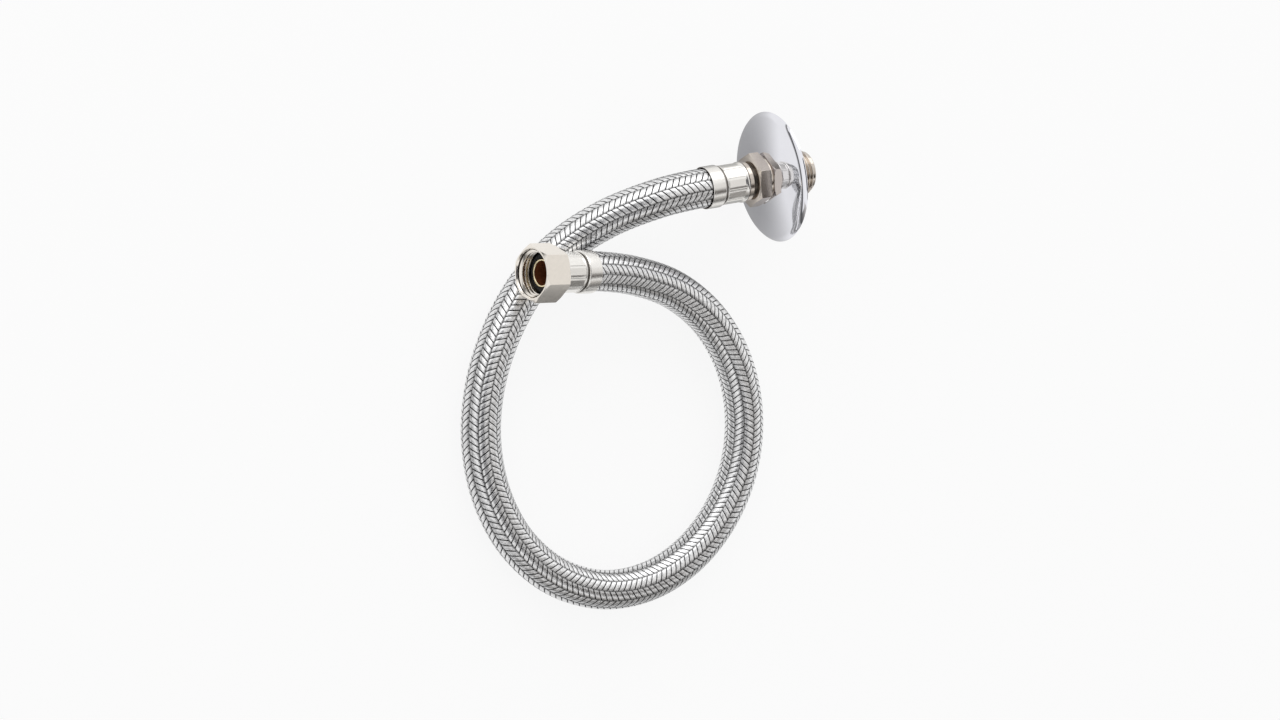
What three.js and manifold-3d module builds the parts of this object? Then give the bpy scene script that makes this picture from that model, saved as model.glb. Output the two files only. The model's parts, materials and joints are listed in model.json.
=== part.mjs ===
// A braided water supply hose: a rubber hose in a woven steel braid, lying in one loop.
// One end has a threaded wall nipple with a chrome wall plate, the other a union nut.
// Millimetres, +Z up. X runs along the wall nipple, and the origin is on the floor under the wall end.

import * as THREE from 'three';
import { mergeVertices } from 'three/addons/utils/BufferGeometryUtils.js';
import Module from 'manifold-3d';

const wasm = await Module();
wasm.setup();

// Clearances between pieces that touch or run in each other
const fitGap = 0.3;
const floorGap = 0.05;

// How far a cutting shape reaches past the material it takes off
const cutMargin = 1;

// Hose: a rubber liner in a tight woven braid
const hoseRadius = 9;
const braidThickness = 0.7;
const stemTailRadius = 6.3;
const squeezedBraid = 0.6;
const squeezeTaper = 1.2;
const tailOverlap = 1;
const hoseSides = 12;
const hoseSteps = 34;

// Ferrule: a pressed sleeve, wide at its mouth, crimped down and flared at the fitting
const ferruleWall = 0.45;
const ferruleMouthLength = 7;
const ferruleCrimpLength = 10.5;
const ferruleFlareLength = 1.9;
const ferruleFlareRise = 0.5;
const ferruleEndWall = 0.8;
const crimpOuterRadius = 8.9;
const crimpFlatDepth = 0.14;
const crimpFlats = 10;
const crimpRingWidth = 0.9;
const crimpRingRise = 0.25;
const shoulderRadius = 0.8;

// Stem that the hose is pushed on to, the same at both ends
const stemBoreRadius = 5.35;
const stemNeckRadius = 6.7;
const stemTailStart = 1.4;
const barbCount = 3;
const barbPitch = 4.4;
const barbDepth = 0.35;

// Pipe thread G 1/2: outside, root and pitch
const threadRadius = 10.4775;
const threadRootRadius = 9.3155;
const threadPitch = 1.814;

// Wall nipple: collar, neck, hexagon and outside thread on one turned piece
const collarLength = 2;
const collarRadius = 9.3;
const nippleNeckLength = 1.9;
const nippleNeckRadius = 8;
const nippleHexAcross = 22;
const nippleHexLength = 6.2;
const nippleHexTurn = 13;
const nippleShoulder = 1.1;
const nippleBackChamfer = 0.7;
const nippleThreadLength = 25.3;
const threadRunoutLength = 2;
const threadLead = 0.9;

// Wall plate: a thin pressed dome with a narrow steeper edge and a cut rim, loose on the nipple's thread
const plateRadius = 30;
const plateSheet = 0.8;
const plateDomeRadius = 75;
const plateDomeReach = 27.2;
const plateBendRadius = 3;
const plateEdgeSlope = 36;
const plateEdgeLand = 0.25;
const plateHoleGap = 0.42;
const plateToHex = 0.8;

// Union nut on the tap end, free to turn behind the stem's flange
const nutAcross = 23;
const nutLength = 12.9;
const nutTurn = 5.75;
const nutToFerrule = 0.6;
const nutBackWall = 1.8;
const nutFrontChamferRadius = 12.3;
const nutBackChamferRadius = 11.9;
const nutChamferSlope = 0.55;
const nutMouthRadius = 10.95;
const nutMouthDepth = 1;
const nutThreadTurns = 3;
const nutReliefLength = 1.2;

// Tap stem: flange that the nut pulls on, and a short nose that carries the washer
const flangeThickness = 1.5;
const flangeRadius = 8.95;
const stemShankRadius = 7.3;
const noseRadius = 6.35;
const noseLength = 3.6;
const noseChamfer = 0.3;

// Sealing washer round the nose
const washerThickness = 2;
const washerRadius = 8.95;

// Tap end: where its ferrule's mouth lies on the floor plan, and which way it points
const tapMouthPlan = [-90.1, -28.6];
const tapPlanAngle = 172.8;
const tapRiseAngle = 11.5;

// The loop's centreline between the two ferrules: x, y and the height above lying on the floor
const hoseRoute = [
  [-51.5, -1.5, 19.2],
  [-73.9, -7.1, 10.3],
  [-94.7, -17.4, 2.1],
  [-113.6, -32.1, 0],
  [-129.4, -50.8, 0],
  [-140.9, -72.6, 0],
  [-146.6, -96.5, 0],
  [-145.4, -120.8, 0],
  [-136.6, -143.7, 0],
  [-120, -162, 0],
  [-97.7, -172.6, 0],
  [-73.8, -173.5, 0],
  [-50.7, -165.6, 0],
  [-31.4, -150.3, 0.1],
  [-18.1, -129.7, 0.6],
  [-12.5, -106, 1.8],
  [-15.3, -82.1, 3.8],
  [-26.1, -60.8, 6.5],
  [-43.5, -44.4, 9.8],
  [-65.3, -34.2, 13.8],
];
const straightLead = 6;

// Smoothness of the turned pieces
const turnedSides = 40;
const plateSides = 64;
const tailSides = 20;
const domeSteps = 5;
const bendSteps = 3;
const shoulderSteps = 4;

// Sizes that follow from the ones above
const layerInnerRadius = hoseRadius - braidThickness;
const linerOuterRadius = layerInnerRadius - fitGap;
const linerBoreRadius = stemTailRadius + fitGap;
const mouthOuterRadius = hoseRadius + fitGap + ferruleWall;
const crimpInnerRadius = crimpOuterRadius - crimpFlatDepth - ferruleWall;
const squeezedOuterRadius = crimpInnerRadius - fitGap;
const squeezedLinerRadius = squeezedOuterRadius - squeezedBraid - fitGap;
const ferruleLength = ferruleMouthLength + ferruleCrimpLength + ferruleFlareLength;
const ferruleEndInside = ferruleLength - ferruleEndWall;
const hoseTailEnd = ferruleEndInside - fitGap;
const collarStart = ferruleLength + fitGap;
const nippleHexStart = collarStart + collarLength + nippleNeckLength;
const nippleHexEnd = nippleHexStart + nippleHexLength;
const wallEndLength = nippleHexEnd + nippleThreadLength;
const wallMouthX = -wallEndLength / 2;
const wallAxisHeight = plateRadius;
const nutStart = ferruleLength + nutToFerrule;
const nutEnd = nutStart + nutLength;
const nutFloor = nutStart + nutBackWall;
const flangeStart = nutFloor + fitGap;
const flangeEnd = flangeStart + flangeThickness;
const noseEnd = flangeEnd + noseLength;
const nutCornerRadius = cornerRadius(6, nutAcross);
const nippleCornerRadius = cornerRadius(6, nippleHexAcross);
const lyingHeight = hoseRadius + floorGap;

// Distance from the middle to a corner of a flat-sided bar.
function cornerRadius(sides, acrossFlats) {
  return acrossFlats / 2 / Math.cos(Math.PI / sides);
}

const materials = {
  nickel: { color: 0xc9c2b6, roughness: 0.3, metalness: 1 },
  steel: { color: 0xd2cfc9, roughness: 0.28, metalness: 1 },
  chrome: { color: 0xd8d8dc, roughness: 0.08, metalness: 1 },
  brass: { color: 0xd9c79a, roughness: 0.3, metalness: 1 },
  braid: { color: 0xb9bbbf, roughness: 0.4, metalness: 1 },
  rubber: { color: 0x1a1a1a, roughness: 0.75, metalness: 0 },
};

// Booleans

function toSolid(geometry) {
  const plain = geometry.index ? geometry.toNonIndexed() : geometry.clone();
  plain.deleteAttribute('normal');
  plain.deleteAttribute('uv');
  const merged = mergeVertices(plain, 1e-4);
  const mesh = new wasm.Mesh({
    numProp: 3,
    vertProperties: new Float32Array(merged.attributes.position.array),
    triVerts: new Uint32Array(merged.index.array),
  });
  return new wasm.Manifold(mesh);
}

function toGeometry(solid) {
  const mesh = solid.getMesh();
  const geometry = new THREE.BufferGeometry();
  geometry.setAttribute('position', new THREE.BufferAttribute(new Float32Array(mesh.vertProperties), 3));
  geometry.setIndex(new THREE.BufferAttribute(new Uint32Array(mesh.triVerts), 1));
  geometry.computeVertexNormals();
  return geometry;
}

function makeMesh(name, geometry, finish) {
  const mesh = new THREE.Mesh(geometry, new THREE.MeshStandardMaterial(materials[finish]));
  mesh.name = name;
  return mesh;
}

// Turned and prismatic shapes along the local X axis

// The outline is a closed loop of [distance along X, radius] points, outside first, then back along the bore.
function turned(outline, sides = turnedSides) {
  const profile = outline.map(([along, radius]) => new THREE.Vector2(radius, along));
  profile.push(profile[0].clone());
  const geometry = new THREE.LatheGeometry(profile, sides);
  geometry.rotateZ(-Math.PI / 2);
  return geometry;
}

function polygonPoints(sides, radius, turn = 0) {
  const points = [];
  for (let i = 0; i < sides; i += 1) {
    const angle = THREE.MathUtils.degToRad(turn) + (i * 2 * Math.PI) / sides;
    points.push(new THREE.Vector2(radius * Math.cos(angle), radius * Math.sin(angle)));
  }
  return points;
}

// A bar with flat sides along X. The turn is the angle of a corner from +Y towards +Z, in degrees.
function prism(sides, acrossFlats, start, length, turn) {
  const shape = new THREE.Shape(polygonPoints(sides, cornerRadius(sides, acrossFlats), turn + 90));
  const geometry = new THREE.ExtrudeGeometry(shape, { depth: length, bevelEnabled: false, steps: 1 });
  geometry.rotateY(Math.PI / 2);
  geometry.translate(start, 0, 0);
  return geometry;
}

// Takes the round material outside a flat-sided bar off a turned blank.
function cutFlats(blank, sides, acrossFlats, start, length, turn) {
  const reach = cornerRadius(sides, acrossFlats) + cutMargin;
  const inside = acrossFlats / 4;
  const end = start + length;
  const sleeve = toSolid(turned([[start, reach], [end, reach], [end, inside], [start, inside]]));
  const core = toSolid(prism(sides, acrossFlats, start - cutMargin, length + 2 * cutMargin, turn));
  return blank.subtract(sleeve.subtract(core));
}

// Points of an arc in the [along, radius] plane, the end angle included.
function arcPoints(centre, radius, fromDeg, toDeg, steps) {
  const points = [];
  for (let i = 0; i <= steps; i += 1) {
    const angle = THREE.MathUtils.degToRad(fromDeg + ((toDeg - fromDeg) * i) / steps);
    points.push([centre[0] + radius * Math.cos(angle), centre[1] + radius * Math.sin(angle)]);
  }
  return points;
}

// Ridges of a pipe thread as turned rings, starting and ending at a root.
function threadRidges(start, turns, crest, root) {
  const points = [];
  for (let i = 0; i < turns; i += 1) {
    const middle = start + (i + 0.5) * threadPitch;
    points.push([middle - threadPitch / 2, root]);
    points.push([middle, crest]);
  }
  points.push([start + turns * threadPitch, root]);
  return points;
}

// Ferrule

function ferruleOutline() {
  const crimpStart = ferruleMouthLength;
  const crimpEnd = crimpStart + ferruleCrimpLength;
  const shoulder = arcPoints(
    [crimpStart - shoulderRadius, mouthOuterRadius - shoulderRadius], shoulderRadius, 90, 0, shoulderSteps,
  );
  const ringStart = crimpStart + crimpRingWidth;
  const ringEnd = ringStart + crimpRingWidth;
  const mouthInnerRadius = mouthOuterRadius - ferruleWall;
  return [
    [0, mouthOuterRadius],
    ...shoulder,
    [crimpStart, crimpOuterRadius - crimpFlatDepth],
    [ringStart, crimpOuterRadius - crimpFlatDepth],
    [ringStart + crimpRingWidth / 3, crimpOuterRadius + crimpRingRise],
    [ringEnd - crimpRingWidth / 3, crimpOuterRadius + crimpRingRise],
    [ringEnd, crimpOuterRadius],
    [crimpEnd, crimpOuterRadius],
    [crimpEnd + ferruleFlareLength / 2, crimpOuterRadius + ferruleFlareRise],
    [ferruleLength, crimpOuterRadius + ferruleFlareRise],
    [ferruleLength, stemNeckRadius + fitGap],
    [ferruleEndInside, stemNeckRadius + fitGap],
    [ferruleEndInside, crimpInnerRadius],
    [crimpStart - ferruleWall, crimpInnerRadius],
    [crimpStart - ferruleWall - shoulderRadius, mouthInnerRadius],
    [0, mouthInnerRadius],
  ];
}

// The crimping jaws press flats into the narrow stretch.
function ferrule(name) {
  const start = ferruleMouthLength + 2 * crimpRingWidth;
  const end = ferruleMouthLength + ferruleCrimpLength;
  const across = 2 * (crimpOuterRadius - crimpFlatDepth);
  const solid = cutFlats(toSolid(turned(ferruleOutline())), crimpFlats, across, start, end - start, 0);
  return makeMesh(name, toGeometry(solid), 'steel');
}

// Stems

// Outside of the tail inside the hose: saw-tooth barbs that let the hose on but not off.
function tailOutline() {
  const points = [[stemTailStart, stemTailRadius - barbDepth]];
  for (let i = 0; i < barbCount; i += 1) {
    const tip = stemTailStart + (i + 1) * barbPitch;
    points.push([tip, stemTailRadius]);
    points.push([tip, stemTailRadius - barbDepth]);
  }
  const neckStart = hoseTailEnd + fitGap / 2;
  points.push([neckStart, stemTailRadius - barbDepth]);
  points.push([neckStart, stemNeckRadius]);
  return points;
}

function nippleOutline() {
  const threadStart = nippleHexEnd + threadRunoutLength;
  const turns = Math.floor((nippleThreadLength - threadRunoutLength - threadLead) / threadPitch);
  const hexReach = nippleCornerRadius + fitGap;
  const shoulderStart = nippleHexAcross / 2 - nippleShoulder / 2;
  return [
    ...tailOutline(),
    [collarStart, stemNeckRadius],
    [collarStart, collarRadius],
    [collarStart + collarLength, collarRadius],
    [collarStart + collarLength, nippleNeckRadius],
    [nippleHexStart, nippleNeckRadius],
    [nippleHexStart, shoulderStart],
    [nippleHexStart + nippleShoulder / 2, nippleHexAcross / 2 + nippleShoulder / 4],
    [nippleHexStart + nippleShoulder, hexReach],
    [nippleHexEnd - nippleBackChamfer, hexReach],
    [nippleHexEnd, hexReach - 2 * nippleBackChamfer],
    [nippleHexEnd, threadRootRadius],
    ...threadRidges(threadStart, turns, threadRadius, threadRootRadius),
    [wallEndLength, threadRootRadius],
    [wallEndLength, stemBoreRadius],
    [stemTailStart, stemBoreRadius],
  ];
}

function wallNipple() {
  const blank = toSolid(turned(nippleOutline()));
  const solid = cutFlats(blank, 6, nippleHexAcross, nippleHexStart, nippleHexLength, nippleHexTurn);
  return makeMesh('wall_nipple', toGeometry(solid), 'nickel');
}

function tapStem() {
  const outline = [
    ...tailOutline(),
    [collarStart, stemNeckRadius],
    [collarStart, stemShankRadius],
    [flangeStart, stemShankRadius],
    [flangeStart, flangeRadius],
    [flangeEnd, flangeRadius],
    [flangeEnd, noseRadius],
    [noseEnd - noseChamfer, noseRadius],
    [noseEnd, noseRadius - noseChamfer],
    [noseEnd, stemBoreRadius],
    [stemTailStart, stemBoreRadius],
  ];
  return makeMesh('tap_stem', turned(outline), 'brass');
}

// Wall plate

// One face of the plate as [along, radius] points: the dome from the hole outwards, the bend and the steep edge.
// The inset is how far the face lies under the outer skin.
function plateFace(endPlane, holeRadius, inset) {
  const reachAngle = Math.asin(plateDomeReach / plateDomeRadius);
  const edgeAngle = THREE.MathUtils.degToRad(plateEdgeSlope);
  const bendCentreRadius = (plateDomeRadius - plateBendRadius) * Math.sin(reachAngle);
  const bendEndRadius = bendCentreRadius + plateBendRadius * Math.sin(edgeAngle);
  const bendEnd = endPlane - (plateRadius - bendEndRadius) * Math.tan(edgeAngle);
  const bendCentre = bendEnd + plateBendRadius * Math.cos(edgeAngle);
  const domeCentre = bendCentre + (plateDomeRadius - plateBendRadius) * Math.cos(reachAngle);
  const points = [];
  const skin = plateDomeRadius - inset;
  const holeAngle = Math.asin(holeRadius / skin);
  for (let i = 0; i <= domeSteps; i += 1) {
    const angle = holeAngle + ((reachAngle - holeAngle) * i) / domeSteps;
    points.push([domeCentre - skin * Math.cos(angle), skin * Math.sin(angle)]);
  }
  const bend = plateBendRadius - inset;
  for (let i = 1; i <= bendSteps; i += 1) {
    const angle = reachAngle + ((edgeAngle - reachAngle) * i) / bendSteps;
    points.push([bendCentre - bend * Math.cos(angle), bendCentreRadius + bend * Math.sin(angle)]);
  }
  const [lastAlong, lastRadius] = points[points.length - 1];
  points.push([endPlane, lastRadius + (endPlane - lastAlong) / Math.tan(edgeAngle)]);
  return points;
}

function wallPlate() {
  const holeRadius = threadRadius + plateHoleGap;
  const holeEdge = plateFace(0, holeRadius, 0)[0][0];
  const endPlane = nippleHexEnd + plateToHex - holeEdge;
  const rimPlane = endPlane + plateEdgeLand;
  const outer = plateFace(endPlane, holeRadius, 0);
  const inner = plateFace(endPlane, holeRadius, plateSheet).reverse();
  const outline = [...outer, [rimPlane, plateRadius], [rimPlane, inner[0][1]], ...inner];
  return makeMesh('wall_plate', turned(outline, plateSides), 'chrome');
}

// Union nut and washer

function unionNut() {
  const cornerReach = nutCornerRadius + fitGap;
  const frontChamfer = (cornerReach - nutFrontChamferRadius) * nutChamferSlope;
  const backChamfer = (cornerReach - nutBackChamferRadius) * nutChamferSlope;
  const threadStart = nutEnd - nutMouthDepth - nutThreadTurns * threadPitch;
  const ridges = threadRidges(threadStart, nutThreadTurns, threadRootRadius, threadRadius);
  const outline = [
    [nutStart, nutBackChamferRadius],
    [nutStart + backChamfer, cornerReach],
    [nutEnd - frontChamfer, cornerReach],
    [nutEnd, nutFrontChamferRadius],
    [nutEnd, nutMouthRadius],
    ...ridges.reverse(),
    [threadStart - nutReliefLength, threadRadius],
    [threadStart - nutReliefLength, threadRootRadius],
    [nutFloor, threadRootRadius],
    [nutFloor, stemShankRadius + fitGap],
    [nutStart, stemShankRadius + fitGap],
  ];
  const blank = toSolid(turned(outline));
  const solid = cutFlats(blank, 6, nutAcross, nutStart, nutLength, nutTurn);
  return makeMesh('union_nut', toGeometry(solid), 'nickel');
}

function sealingWasher() {
  const start = flangeEnd + fitGap;
  const end = start + washerThickness;
  const bore = noseRadius + fitGap;
  return makeMesh(
    'sealing_washer',
    turned([[start, washerRadius], [end, washerRadius], [end, bore], [start, bore]]),
    'rubber',
  );
}

// Hose

function tapMouth() {
  const rise = THREE.MathUtils.degToRad(tapRiseAngle);
  const hoseTop = lyingHeight + hoseRadius;
  const nutBackHeight = hoseTop + nutCornerRadius * Math.cos(rise) + fitGap;
  return new THREE.Vector3(...tapMouthPlan, nutBackHeight - nutStart * Math.sin(rise));
}

function tapDirection() {
  const plan = THREE.MathUtils.degToRad(tapPlanAngle);
  const rise = THREE.MathUtils.degToRad(tapRiseAngle);
  return new THREE.Vector3(
    Math.cos(rise) * Math.cos(plan), Math.cos(rise) * Math.sin(plan), Math.sin(rise),
  );
}

// Turns local X to the tap end's direction and keeps local Z as near to upright as it can be.
function tapTurn() {
  const along = tapDirection();
  const side = new THREE.Vector3(0, 0, 1).cross(along).normalize();
  const up = along.clone().cross(side);
  return new THREE.Matrix4().makeBasis(along, side, up);
}

function wallPlacement() {
  return new THREE.Matrix4().makeTranslation(wallMouthX, 0, wallAxisHeight);
}

function tapPlacement() {
  return new THREE.Matrix4().setPosition(tapMouth()).multiply(tapTurn());
}

function hoseCurve() {
  const wallMouth = new THREE.Vector3(wallMouthX, 0, wallAxisHeight);
  const mouth = tapMouth();
  const points = [
    wallMouth,
    wallMouth.clone().add(new THREE.Vector3(-straightLead, 0, 0)),
    ...hoseRoute.map(([x, y, lift]) => new THREE.Vector3(x, y, lyingHeight + lift)),
    mouth.clone().addScaledVector(tapDirection(), -straightLead),
    mouth,
  ];
  return new THREE.CatmullRomCurve3(points, false, 'centripetal');
}

// A solid bar that follows the hose, with a turned tail inside each ferrule.
// The tail is free inside the ferrule's mouth and squeezed under the crimp.
function hoseBar(radius, squeezedRadius, overrun) {
  const section = new THREE.Shape(polygonPoints(hoseSides, radius));
  const run = new THREE.ExtrudeGeometry(section, {
    steps: hoseSteps, bevelEnabled: false, extrudePath: hoseCurve(),
  });
  const taperEnd = ferruleMouthLength - ferruleWall - shoulderRadius;
  const tail = turned([
    [-tailOverlap, radius],
    [taperEnd - squeezeTaper, radius],
    [taperEnd, squeezedRadius],
    [hoseTailEnd + overrun, squeezedRadius],
    [hoseTailEnd + overrun, 0],
    [-tailOverlap, 0],
  ], tailSides);
  const wallTail = toSolid(tail.clone().applyMatrix4(wallPlacement()));
  const tapTail = toSolid(tail.clone().applyMatrix4(tapPlacement()));
  return toSolid(run).add(wallTail).add(tapTail);
}

function hoseLayer(name, outer, inner, finish) {
  const solid = hoseBar(outer[0], outer[1], 0).subtract(hoseBar(inner[0], inner[1], 1));
  return makeMesh(name, toGeometry(solid), finish);
}

const hose = new THREE.Group();

const wallEnd = new THREE.Group();
wallEnd.applyMatrix4(wallPlacement());
wallEnd.add(ferrule('wall_ferrule'), wallNipple(), wallPlate());

const tapEnd = new THREE.Group();
tapEnd.applyMatrix4(tapPlacement());
tapEnd.add(ferrule('tap_ferrule'), tapStem(), sealingWasher(), unionNut());

hose.add(wallEnd, tapEnd);
hose.add(hoseLayer('hose_braid', [hoseRadius, squeezedOuterRadius],
  [layerInnerRadius, squeezedOuterRadius - squeezedBraid], 'braid'));
hose.add(hoseLayer('hose_liner', [linerOuterRadius, squeezedLinerRadius],
  [linerBoreRadius, linerBoreRadius], 'rubber'));

export default hose;
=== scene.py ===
# %% [markdown]
# # A braided water supply hose
# The object is a short flexible hose that joins a tap to a pipe in the wall. A rubber hose runs
# inside a sleeve of woven steel wire. One end has a threaded wall fitting with a chrome plate, the
# other a nut that turns freely. The imported model gives every solid its place, in metres, so the
# first step loads it. Blender's own starting cube, lamp and camera go first.

# %% Load the imported model
import json
import math
import bmesh
import bpy
import numpy as np
from mathutils import Matrix, Vector

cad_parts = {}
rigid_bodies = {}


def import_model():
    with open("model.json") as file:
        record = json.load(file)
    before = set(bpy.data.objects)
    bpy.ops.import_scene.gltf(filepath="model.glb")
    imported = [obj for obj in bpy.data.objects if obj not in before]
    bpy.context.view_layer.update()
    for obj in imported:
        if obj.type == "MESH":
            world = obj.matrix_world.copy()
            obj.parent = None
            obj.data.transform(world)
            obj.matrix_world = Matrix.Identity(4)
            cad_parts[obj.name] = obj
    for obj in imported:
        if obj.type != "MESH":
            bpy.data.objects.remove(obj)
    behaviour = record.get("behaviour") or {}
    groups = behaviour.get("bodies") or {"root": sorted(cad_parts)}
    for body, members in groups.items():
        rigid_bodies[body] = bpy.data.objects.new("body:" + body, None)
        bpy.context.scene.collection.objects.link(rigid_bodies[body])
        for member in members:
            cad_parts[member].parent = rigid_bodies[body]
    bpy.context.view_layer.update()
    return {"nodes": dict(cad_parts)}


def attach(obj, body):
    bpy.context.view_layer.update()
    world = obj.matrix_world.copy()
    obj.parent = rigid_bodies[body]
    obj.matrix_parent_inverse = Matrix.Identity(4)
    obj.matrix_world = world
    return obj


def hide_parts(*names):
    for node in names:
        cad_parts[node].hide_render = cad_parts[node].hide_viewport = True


for leftover in list(bpy.data.objects):
    bpy.data.objects.remove(leftover)
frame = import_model()
print("nodes:", sorted(frame["nodes"]))

# %% [markdown]
# ## The camera
# The photograph looks steeply down on the hose from some way off, with the camera rolled a little.
# A camera is placed by three directions: where it looks, which way is right in the picture, and
# which way is up. Working them out as vectors is surer than turning the camera by angles, because
# the roll comes along with the rest.

# %% Place the camera
look_at = Vector((-0.05657, -0.0741, 0))
camera_distance = 1.5
camera_height = math.radians(61.5)
camera_roll = math.radians(9.51)
sensor_width = 36
picture_width = 1280
focal_pixels = 3270.2

level_ahead = Vector((math.cos(camera_roll), -math.sin(camera_roll), 0))
picture_up = Vector((math.sin(camera_roll), math.cos(camera_roll), 0))
view_direction = level_ahead * math.cos(camera_height) - Vector((0, 0, math.sin(camera_height)))
picture_right = level_ahead * math.sin(camera_height) + Vector((0, 0, math.cos(camera_height)))

camera_data = bpy.data.cameras.new("camera")
camera_data.sensor_width = sensor_width
camera_data.lens = focal_pixels / picture_width * sensor_width
camera_data.clip_end = 20
camera = bpy.data.objects.new("camera", camera_data)
camera_turn = Matrix((picture_right, picture_up, -view_direction)).transposed().to_4x4()
camera.matrix_world = Matrix.Translation(look_at - view_direction * camera_distance) @ camera_turn
bpy.context.scene.collection.objects.link(camera)
bpy.context.scene.camera = camera
print("camera at", [round(v, 3) for v in camera.location], "lens", round(camera_data.lens, 1), "mm")

# %% [markdown]
# ## Small helpers
# Each piece is built in a bmesh, which is Blender's editable mesh, and then becomes an object at
# the origin whose place is in its mesh. Normals are made to point outwards after doubles are
# merged, because spinning a profile can leave a shape inside out.

# %% Turn a bmesh into a finished object
MM = 0.001
SAME_PLACE = 0.002 * MM


def add_to_scene(bm, name):
    """Makes an object of the bmesh and puts it in the scene."""
    mesh = bpy.data.meshes.new(name)
    bm.to_mesh(mesh)
    bm.free()
    made = bpy.data.objects.new(name, mesh)
    bpy.context.scene.collection.objects.link(made)
    return made


def finish_piece(bm, name, body, place=None, sharp=35):
    """Makes a piece with its place in its vertices, and lets it ride on a body."""
    bmesh.ops.remove_doubles(bm, verts=bm.verts, dist=SAME_PLACE)
    bmesh.ops.recalc_face_normals(bm, faces=bm.faces)
    if place is not None:
        bmesh.ops.transform(bm, matrix=place, verts=bm.verts)
    piece = add_to_scene(bm, name)
    piece.data.shade_smooth()
    piece.data.set_sharp_from_angle(angle=math.radians(sharp))
    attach(piece, body)
    print(name, "faces:", len(piece.data.polygons))
    return piece


def soften_edges(piece, width, segments=3, angle=28):
    """Rounds the sharp edges of a piece, as a deburred edge is rounded."""
    bevel = piece.modifiers.new("soft_edges", "BEVEL")
    bevel.width = width
    bevel.segments = segments
    bevel.limit_method = "ANGLE"
    bevel.angle_limit = math.radians(angle)
    bevel.harden_normals = True


# %% [markdown]
# Most of the fittings are turned on a lathe, so they are made as a lathe makes them: an outline is
# drawn once as distances along the axis and radii, and spun round the X axis. The outline is a
# closed loop, so the result is a closed wall with a bore through it.

# %% Spin an outline round the X axis
def draw_loop(bm, points):
    """Draws a closed loop through points in millimetres, and returns its corners and edges."""
    verts = [bm.verts.new([value * MM for value in point]) for point in points]
    edges = [bm.edges.new((verts[i], verts[(i + 1) % len(verts)])) for i in range(len(verts))]
    return verts, edges


def spin_outline(bm, outline, steps=120):
    """Spins a closed outline of (along, radius) in millimetres into a closed wall."""
    verts, edges = draw_loop(bm, [(along, 0, radius) for along, radius in outline])
    bmesh.ops.spin(bm, geom=verts + edges, cent=(0, 0, 0), axis=(1, 0, 0), dvec=(0, 0, 0),
                   angle=2 * math.pi, steps=steps, use_merge=True, use_duplicate=False)


def arc(centre, radius, start, end, steps):
    """Points of an arc in the outline's plane, its angles in degrees."""
    points = []
    for i in range(steps + 1):
        angle = math.radians(start + (end - start) * i / steps)
        points.append((centre[0] + radius * math.cos(angle), centre[1] + radius * math.sin(angle)))
    return points


# %% [markdown]
# A hexagon is what a mill leaves of the round bar when it has cut six flats. The round blank is cut
# with six planes in the same way, and each cut is closed with one face. Only faces that stick out
# past a flat are given to the cut, because a neighbour that shares a corner with them would be
# lost. They are given in the mesh's own order, so that every run makes the same mesh. The blank is
# cut at a thousand times its size and then made small again, because at its true size the slivers
# of a cut are near the limit of the numbers.

# %% Cut flats on a round blank
CUT_REACH = 0.01
SLIVER = 0.06


def cut_flats(bm, sides, across, start, end, turn):
    """Cuts flats between two places along X. The turn is a corner's angle from +Y towards +Z."""
    bmesh.ops.scale(bm, vec=(1 / MM, 1 / MM, 1 / MM), verts=bm.verts)
    for i in range(sides):
        angle = math.radians(turn + (i + 0.5) * 360 / sides)
        outwards = Vector((0, math.cos(angle), math.sin(angle)))
        faces = [f for f in bm.faces
                 if start - CUT_REACH < f.calc_center_median().x < end + CUT_REACH
                 and max(v.co.dot(outwards) for v in f.verts) > across / 2]
        chosen = set(faces)
        parts = faces + [e for e in bm.edges if chosen.intersection(e.link_faces)]
        parts += [v for v in bm.verts if chosen.intersection(v.link_faces)]
        cut = bmesh.ops.bisect_plane(bm, geom=parts, dist=1e-5, plane_co=outwards * across / 2,
                                     plane_no=outwards, clear_outer=True, clear_inner=False)
        rim = [e for e in cut["geom_cut"] if isinstance(e, bmesh.types.BMEdge) and e.is_boundary]
        bmesh.ops.contextual_create(bm, geom=rim)
    in_order = sorted(bm.verts, key=lambda v: v.co.to_tuple(3))
    bmesh.ops.remove_doubles(bm, verts=in_order, dist=SLIVER)
    bmesh.ops.scale(bm, vec=(MM, MM, MM), verts=bm.verts)
    print("open edges after the cuts:", sum(e.is_boundary for e in bm.edges))


# %% [markdown]
# A pipe thread is a ridge that climbs by one pitch each turn. Spinning the ridge's section with a
# step forward at each turn gives a true helix. The ridge sinks into the metal over the last part of
# a turn at both ends, as it does where a thread is cut, so that no hard end face shows.

# %% Wind a thread ridge
THREAD_PITCH = 1.814
THREAD_CREST = 10.4775
THREAD_ROOT = 9.3155
THREAD_SINK = 0.06
FADING_TURNS = 0.4


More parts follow.
